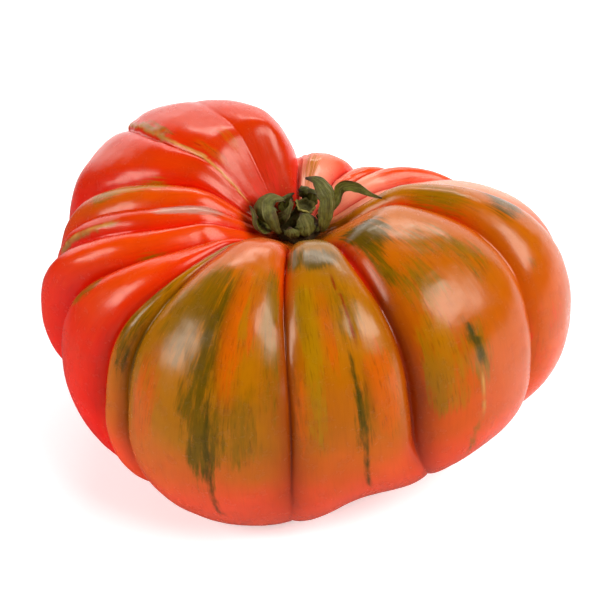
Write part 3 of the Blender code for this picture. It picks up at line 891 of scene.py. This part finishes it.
def stem_material():
    n = Nodes("cut_stem")
    tint = n.attribute("leaf_colour", "Color")
    fibres = n.noise(n.stretched(n.position, (1.0, 1.0, 0.25)), 2200.0, 4.0, 0.6)
    mottled = n.blend("MULTIPLY", n.ramp(fibres, 0.4, 0.7, 0.0, 0.55), tint, (0.5, 0.42, 0.28, 1.0))
    normal = n.bump(fibres, 0.5, 0.0003)
    n.set(Base_Color=mottled, Roughness=0.85, Normal=normal, Specular_IOR_Level=0.2)
    return n.material


def floor_material():
    """Pale and matt. It glows for the camera, and more so far away, so that no horizon shows.

    In the skin's reflections it is bright behind the tomato and dim in front of it.
    """
    n = Nodes("pale_floor")
    from_middle = n.add("VectorMath", {0: n.position}, operation="LENGTH").outputs["Value"]
    apart = n.add("SeparateXYZ", {0: n.position}).outputs
    rays = n.add("LightPath").outputs

    behind = n.ramp(n.maths("ADD", apart["Y"], n.times(apart["X"], 0.9)), 0.0, 0.07)
    dim = n.ramp(from_middle, 0.07, 0.15, 0.2, 0.0)
    in_front = n.times(n.maths("SUBTRACT", 1.0, behind), dim)
    mirrored = n.maths("ADD", behind, in_front)
    # 2 and 3 are the Mix node's number inputs, and 0 its number output.
    brightness = n.add("Mix", {0: rays["Is Glossy Ray"], 2: 1.0, 3: mirrored}).outputs[0]
    shade = n.ramp(n.noise(n.position, 6.0, 2.0), 0.3, 0.7, 0.88, 0.9)
    shade = n.times(shade, brightness)
    n.set(Base_Color=n.add("CombineColor", {0: shade, 1: shade, 2: shade}).outputs[0])
    n.set(Roughness=0.9, Specular_IOR_Level=0.0, Emission_Color=WHITE)
    glow = n.ramp(from_middle, 0.3, 1.0, 0.38, 1.0)
    n.set(Emission_Strength=n.times(rays["Is Camera Ray"], glow))
    return n.material


def backdrop_material():
    """A glowing white wall, which lights the tomato's back and gives its rims their sheen."""
    n = Nodes("white_backdrop")
    n.set(Base_Color=(0.9, 0.9, 0.9, 1.0), Emission_Color=WHITE, Emission_Strength=1.5)
    return n.material


# ---- Stem and sepals ----

STEM_LEAN = 18.0
STEM_GAP = 1.2


class Sepal(NamedTuple):
    """A dried sepal: its half width, how far it is cupped, its midrib, its twist and its yellow.

    The midrib's points are measured from the stem axis and from the foot before it is pressed flat.
    """

    name: str
    half_width: float
    cup: float
    midrib: tuple
    twist: float = 0.0
    yellow: float = 0.35


SEPALS = (
    Sepal("sepal_left_arched", 2.3, 0.3, (
        (-2.9, -2.7, 48.4), (-4.0, -4.1, 50.0), (-5.2, -3.9, 51.5), (-6.4, -2.6, 52.7),
        (-6.3, -0.3, 53.9), (-4.7, 1.2, 54.3), (-3.0, 1.5, 53.6), (-2.2, 1.4, 52.3))),
    Sepal("sepal_left_low", 2.1, 0.3, (
        (-4.0, -0.7, 48.4), (-5.8, -2.1, 49.2), (-7.3, -3.3, 50.2),
        (-8.2, -3.2, 51.4), (-8.5, -2.0, 52.7), (-8.8, -0.8, 53.5)), twist=-15.0, yellow=0.8),
    Sepal("sepal_left_inner", 1.9, 0.35, (
        (-3.8, 1.5, 48.4), (-3.9, 0.2, 50.2), (-2.7, -1.0, 51.9), (-1.6, -0.6, 53.2), (-1.2, 0.6, 53.9))),
    Sepal("sepal_front_left", 1.8, 0.35, (
        (-0.9, -3.9, 48.4), (-1.2, -5.4, 49.6), (-1.3, -5.8, 51.0), (-1.5, -5.3, 52.1))),
    Sepal("sepal_front_right", 2.3, 0.35, (
        (1.8, -3.7, 48.4), (2.1, -4.8, 50.0), (1.9, -4.4, 51.8), (1.2, -3.6, 53.1), (0.6, -3.0, 53.6))),
    Sepal("sepal_right_tall", 2.6, 0.25, (
        (3.4, -2.1, 48.4), (5.1, -2.9, 49.3), (6.0, -2.4, 51.3), (6.4, -1.6, 53.5),
        (6.2, -0.5, 55.4), (5.2, 0.8, 56.9), (3.4, 2.0, 57.8), (1.5, 2.5, 57.5)), yellow=0.8),
    Sepal("sepal_right_long", 1.1, 0.3, (
        (3.8, 1.4, 48.4), (6.4, 2.4, 50.0), (7.8, 2.9, 52.4), (8.2, 3.1, 54.4),
        (9.9, 2.7, 55.2), (12.0, 1.6, 55.5), (14.0, -0.5, 55.9), (15.6, -1.9, 56.2)), twist=70.0),
    Sepal("sepal_rear", 2.0, 0.35, (
        (1.5, 3.7, 48.5), (2.6, 4.9, 50.4), (2.5, 5.0, 52.4), (1.4, 4.2, 53.8), (0.2, 3.6, 53.4))),
    Sepal("sepal_rear_left", 1.8, 0.35, (
        (-2.1, 3.3, 48.5), (-2.9, 4.0, 50.2), (-2.2, 4.0, 52.0), (-0.6, 3.4, 52.9))),
)

SEPAL_WIDEST = 0.38
SEPAL_TIP_WIDTH = 0.1
SEPAL_BASE_HALF = 0.7
SEPAL_ROWS = 96
SEPAL_COLUMNS = 36
SEPAL_THICKNESS = 0.26
# The back of each sepal is a darker copy of its front: painted shade.
BACK_PAINTED_SHADE = 0.62
LEAF_GREEN = srgb(108, 106, 26)
LEAF_PALE = srgb(158, 150, 78)
LEAF_YELLOW = srgb(116, 112, 22)
LEAF_BROWN = srgb(84, 46, 20)
LEAF_DARK = srgb(58, 42, 14)
STEM_PALE = srgb(150, 138, 66)
STEM_GREEN = srgb(78, 72, 26)


def along(points, share):
    """A smooth curve through the points (Catmull-Rom), and its direction, at a share of its length."""
    spot = share * (len(points) - 1)
    first = min(int(spot), len(points) - 2)
    s = spot - first
    before = points[first - 1] if first > 0 else points[0] * 2 - points[1]
    after = points[first + 2] if first + 2 < len(points) else points[-1] * 2 - points[-2]
    a, b, c, d = before, points[first], points[first + 1], after
    bend = 2 * a - 5 * b + 4 * c - d
    swing = 3 * b - a - 3 * c + d
    place = 0.5 * (2 * b + (c - a) * s + bend * s**2 + swing * s**3)
    course = 0.5 * ((c - a) + 2 * bend * s + 3 * swing * s**2)
    return place, course.normalized()


def sepal_half_width(sepal, share):
    if share < SEPAL_WIDEST:
        growth = float(smooth_step(share, 0.0, SEPAL_WIDEST))
        return SEPAL_BASE_HALF + (sepal.half_width - SEPAL_BASE_HALF) * growth
    narrowing = ((share - SEPAL_WIDEST) / (1.0 - SEPAL_WIDEST)) ** 1.6
    return sepal.half_width * (1.0 - (1.0 - SEPAL_TIP_WIDTH) * narrowing)


def sepal_grid(sepal, number):
    """The sepal's middle surface with its midrib, ribs and wrinkles, and what its colours go by."""
    points = [Vector(point) for point in sepal.midrib]
    outward = Vector((points[0].x, points[0].y, 0.0)).normalized()
    level = Vector((-outward.y, outward.x, 0.0))
    place = np.zeros((SEPAL_ROWS + 1, SEPAL_COLUMNS + 1, 3))
    facing = np.zeros_like(place)
    shares = np.linspace(0.0, 1.0, SEPAL_ROWS + 1)
    across = np.linspace(-1.0, 1.0, SEPAL_COLUMNS + 1)
    outline = ragged_outline(shares, across, number)
    for row, share in enumerate(shares):
        centre, course = along(points, share)
        width = (level - course * level.dot(course)).normalized()
        twist = math.radians(sepal.twist) * share
        width = width * math.cos(twist) + course.cross(width) * math.sin(twist)
        face = np.array(course.cross(width))
        half = sepal_half_width(sepal, share)
        fold = sepal.cup * half * np.abs(across) ** 1.3
        roll = 0.3 * half * smooth_step(np.abs(across), 0.65, 1.0)
        vein = 0.12 * np.exp(-(across / 0.07) ** 2) * (1.0 - 0.6 * share)
        reach = half * outline[row] * across
        rise = fold + roll - vein
        place[row] = np.array(centre) + reach[:, None] * np.array(width) + rise[:, None] * face
        facing[row] = face
    wrinkle = layered_noise(place + 31.0 * number, 1.5, 71)
    ribbed = np.sin(across[None, :] * 14.0 + 1.5 * np.sin(shares[:, None] * 9.0 + number))
    edge_fade = (1.0 - 0.4 * shares)[:, None]
    place += facing * ((0.2 * wrinkle + 0.05 * ribbed) * edge_fade)[..., None]
    return place, facing, shares, across, wrinkle


def ragged_outline(shares, across, number):
    """How far each side of a sepal reaches, with small lobes and tears that differ by side."""
    along_edge = stacked(shares * 9.0 + 5.0 * number, 0.0, 0.0)
    left = 1.0 + 0.2 * layered_noise(along_edge, 1.0, 91)
    right = 1.0 + 0.2 * layered_noise(along_edge, 1.0, 95)
    share = ((across + 1.0) / 2.0)[None, :]
    return left[:, None] * (1.0 - share) + right[:, None] * share


def sepal_colours(shares, across, wrinkle, yellow):
    """Green, yellower near the stem, pale on the midrib, and brown at the edges and the tip."""
    shares = shares[:, None]
    across = across[None, :]
    base = np.zeros(wrinkle.shape + (3,)) + LEAF_GREEN
    base = mix(base, LEAF_YELLOW, yellow * (1.0 - smooth_step(shares + 0.1 * wrinkle, 0.15, 0.6)))
    midrib = 0.55 * np.exp(-(across / 0.09) ** 2)
    base = mix(base, LEAF_PALE, midrib + 0.3 * smooth_step(wrinkle, 0.1, 0.7))
    base = mix(base, LEAF_BROWN, 0.55 * smooth_step(np.abs(across) + 0.15 * wrinkle, 0.8, 1.0))
    return mix(base, LEAF_BROWN, 0.95 * smooth_step(shares + 0.06 * wrinkle, 0.86, 0.98))


def both_sides(front, back):
    """A sepal's values by vertex: each ring runs across its front, then back across its back."""
    return np.concatenate([front, back[:, ::-1]], axis=1).reshape(-1, 3)


def make_sepal(sepal, number, axis_foot, material):
    place, facing, shares, across, wrinkle = sepal_grid(sepal, number)
    thick = SEPAL_THICKNESS * (1.0 - 0.5 * np.abs(across) ** 3)[None, :, None]
    thick = thick * (1.0 - 0.4 * shares)[:, None, None]
    front = place + facing * thick / 2.0
    back = place - facing * thick / 2.0
    rows, columns = place.shape[:2]
    vertices = (both_sides(front, back) + axis_foot) * MM
    faces = grid_faces(rows, 2 * columns)
    last = (rows - 1) * 2 * columns
    for here in range(columns - 1):
        other = 2 * columns - 1 - here
        faces.append((here, here + 1, other - 1, other))
        faces.append((last + here, last + other, last + other - 1, last + here + 1))
    made = new_piece("dried_" + sepal.name, vertices, faces, material, sepal.name)
    face_outwards(made.data)
    colours = sepal_colours(shares, across, wrinkle, sepal.yellow)
    # The back gets the darker copy, as painted shade.
    add_colour(made.data, "leaf_colour", both_sides(colours, colours * BACK_PAINTED_SHADE))
    spread = stacked(across, shares[:, None], number)
    add_vector(made.data, "leaf_place", both_sides(spread, spread))


def face_outwards(mesh):
    """Turns the faces so that their normals all point out."""
    work = bmesh.new()
    work.from_mesh(mesh)
    bmesh.ops.recalc_face_normals(work, faces=work.faces)
    work.to_mesh(mesh)
    work.free()


STEM_ROUNDS = (
    # The radius, the height, the share of the ridges, and how pale: below 0 is dark; at the swollen base
    # the dark is partly dried tissue and partly painted shade under the sepals.
    (4.3, -0.9, 0.2, -0.9), (4.2, -0.1, 0.8, -0.9), (3.2, 0.5, 1, -0.6), (2.3, 1.1, 1, -0.3),
    (1.8, 1.8, 1, -0.1), (1.6, 2.6, 1, 0), (1.5, 3.4, 1, 0), (1.55, 4, 1, 0.1),
    (1.75, 4.5, 1, 0.4), (2, 4.8, 1.2, 1), (1.95, 5, 1.2, 1), (1.65, 5, 1, 0.9),
    (1.45, 4.8, 1, 0.3), (1.2, 4.5, 0.8, -0.2), (0.9, 4.4, 0.6, 0.1), (0.5, 4.5, 0.4, 0.2),
    (0.15, 4.4, 0, -0.3),
)
STEM_ROWS = 90
STEM_SIDES = 72


def stem_grid(radius, height, ridged):
    """The stem's points about its own foot, upright, and the roughness of its surface."""
    angle = np.linspace(0.0, 2.0 * np.pi, STEM_SIDES, endpoint=False)
    ridges = 0.06 * np.sin(5.0 * angle + 0.6) + 0.04 * np.sin(13.0 * angle)
    r = radius[:, None] * (1.0 + ridged[:, None] * ridges)
    grid = stacked(r * np.cos(angle), r * np.sin(angle), height[:, None])
    rough = layered_noise(grid, 1.1, 81)
    grid[..., 2] += 0.32 * rough * smooth_step(height, 4.0, 5.0)[:, None]
    grid[..., :2] *= (1.0 + 0.1 * rough)[..., None]
    return grid, rough


def leaning(grid, height):
    """The stem's points leaning towards +X, and raised to their place above the pit."""
    lean = math.radians(STEM_LEAN) * smooth_step(height, -1.0, 2.0)[:, None]
    x = grid[..., 0] * np.cos(lean) + grid[..., 2] * np.sin(lean)
    z = grid[..., 2] * np.cos(lean) - grid[..., 0] * np.sin(lean)
    return stacked(x, grid[..., 1], z + PIT_HEIGHT + STEM_GAP)


def make_stem(axis_foot, material):
    """The cut stem on its swollen base: ridged, with a sunken, pithy cut end in a broken pale ring."""
    profile = np.array(STEM_ROUNDS)
    spots = np.linspace(0.0, len(profile) - 1.0, STEM_ROWS)
    steps = np.arange(len(profile))
    radius, height, ridged, pale = (np.interp(spots, steps, profile[:, i]) for i in range(4))
    grid, rough = stem_grid(radius, height, ridged)
    grid = leaning(grid, height)
    vertices = (grid.reshape(-1, 3) + axis_foot) * MM
    faces = grid_faces(STEM_ROWS, STEM_SIDES)
    faces.append(tuple(range(STEM_SIDES)))
    faces.append(tuple(range(STEM_ROWS * STEM_SIDES - 1, (STEM_ROWS - 1) * STEM_SIDES - 1, -1)))
    made = new_piece("cut_stem_stub", vertices, faces, material, "stem_stub")
    face_outwards(made.data)
    pale = pale[:, None]
    broken = 0.55 + 0.8 * layered_noise(grid, 1.6, 83, 2)
    colours = np.zeros(grid.shape) + STEM_GREEN
    colours = mix(colours, STEM_PALE, np.clip(pale, 0.0, 1.0) * broken + 0.15 * rough)
    # Dark at the swollen base: partly dried tissue, partly painted shade under the sepals.
    colours = mix(colours, LEAF_DARK, np.clip(-1.4 * pale, 0.0, 1.0))
    colours = mix(colours, LEAF_BROWN, 0.35 * smooth_step(rough, 0.2, 0.8))
    add_colour(made.data, "leaf_colour", colours.reshape(-1, 3))


# ---- Floor, lights and camera, in metres, degrees and watts ----

CAMERA_ELEVATION = 42.0
CAMERA_DISTANCE = 0.7
CAMERA_LENS = 222.0
AIM = Vector((-0.0011, 0.0018, 0.0304))
SKY_LIGHTING = 0.012
FLOOR_CORNERS = ((-6.0, -6.0, -0.0002), (6.0, -6.0, -0.0002), (6.0, 6.0, -0.0002), (-6.0, 6.0, -0.0002))
BACKDROP_CORNERS = ((-1.6, 1.3, 0.0), (1.6, 1.3, 0.0), (1.6, 1.3, 1.0), (-1.6, 1.3, 1.0))


def make_stage(name, corners, material):
    """A plain four-cornered sheet that isn't part of the tomato."""
    mesh = bpy.data.meshes.new(name)
    mesh.from_pydata(corners, [], [(0, 1, 2, 3)])
    mesh.materials.append(material)
    add_object(name, mesh)


def place_facing(made, azimuth, elevation, distance):
    """Puts a light or the camera at these angles and metres from the tomato, facing it."""
    a = math.radians(azimuth)
    e = math.radians(elevation)
    towards = Vector((math.cos(a) * math.cos(e), math.sin(a) * math.cos(e), math.sin(e)))
    made.location = AIM + towards * distance
    made.rotation_euler = towards.to_track_quat("Z", "Y").to_euler()


def make_light(name, azimuth, elevation, distance, width, height, power):
    """A rectangular light that faces the tomato."""
    light = bpy.data.lights.new(name, "AREA")
    light.shape = "RECTANGLE"
    light.size = width
    light.size_y = height
    light.energy = power
    place_facing(add_object(name, light), azimuth, elevation, distance)


def make_world():
    """White all round for the camera, and far weaker as a light on the tomato."""
    world = bpy.data.worlds.new("studio")
    world.use_nodes = True
    tree = world.node_tree
    background = tree.nodes["Background"]
    background.inputs["Color"].default_value = WHITE
    path = tree.nodes.new("ShaderNodeLightPath")
    strength = tree.nodes.new("ShaderNodeMapRange")
    tree.links.new(path.outputs["Is Camera Ray"], strength.inputs["Value"])
    strength.inputs["To Min"].default_value = SKY_LIGHTING
    tree.links.new(strength.outputs["Result"], background.inputs["Strength"])
    bpy.context.scene.world = world


def make_camera():
    data = bpy.data.cameras.new("camera")
    data.lens = CAMERA_LENS
    data.clip_start = 0.01
    camera = add_object("camera", data)
    place_facing(camera, 270.0, CAMERA_ELEVATION, CAMERA_DISTANCE)
    bpy.context.scene.camera = camera


def main():
    skin = Skin()
    make_fruit(skin, skin_material())
    axis_foot = stem_axis(skin)
    leaf = leaf_material()
    for number, sepal in enumerate(SEPALS):
        make_sepal(sepal, number, axis_foot, leaf)
    make_stem(axis_foot, stem_material())
    make_stage("floor", FLOOR_CORNERS, floor_material())
    make_stage("backdrop", BACKDROP_CORNERS, backdrop_material())
    make_light("left_softbox", 198.0, 24.0, 0.9, 0.42, 0.56, 6.8)
    make_light("right_softbox", 333.0, 44.0, 0.9, 0.6, 0.56, 10.6)
    make_light("top_strip", 84.0, 45.5, 1.0, 0.8, 0.16, 5.0)
    make_world()
    make_camera()
    bpy.context.scene.view_settings.view_transform = "Standard"


main()
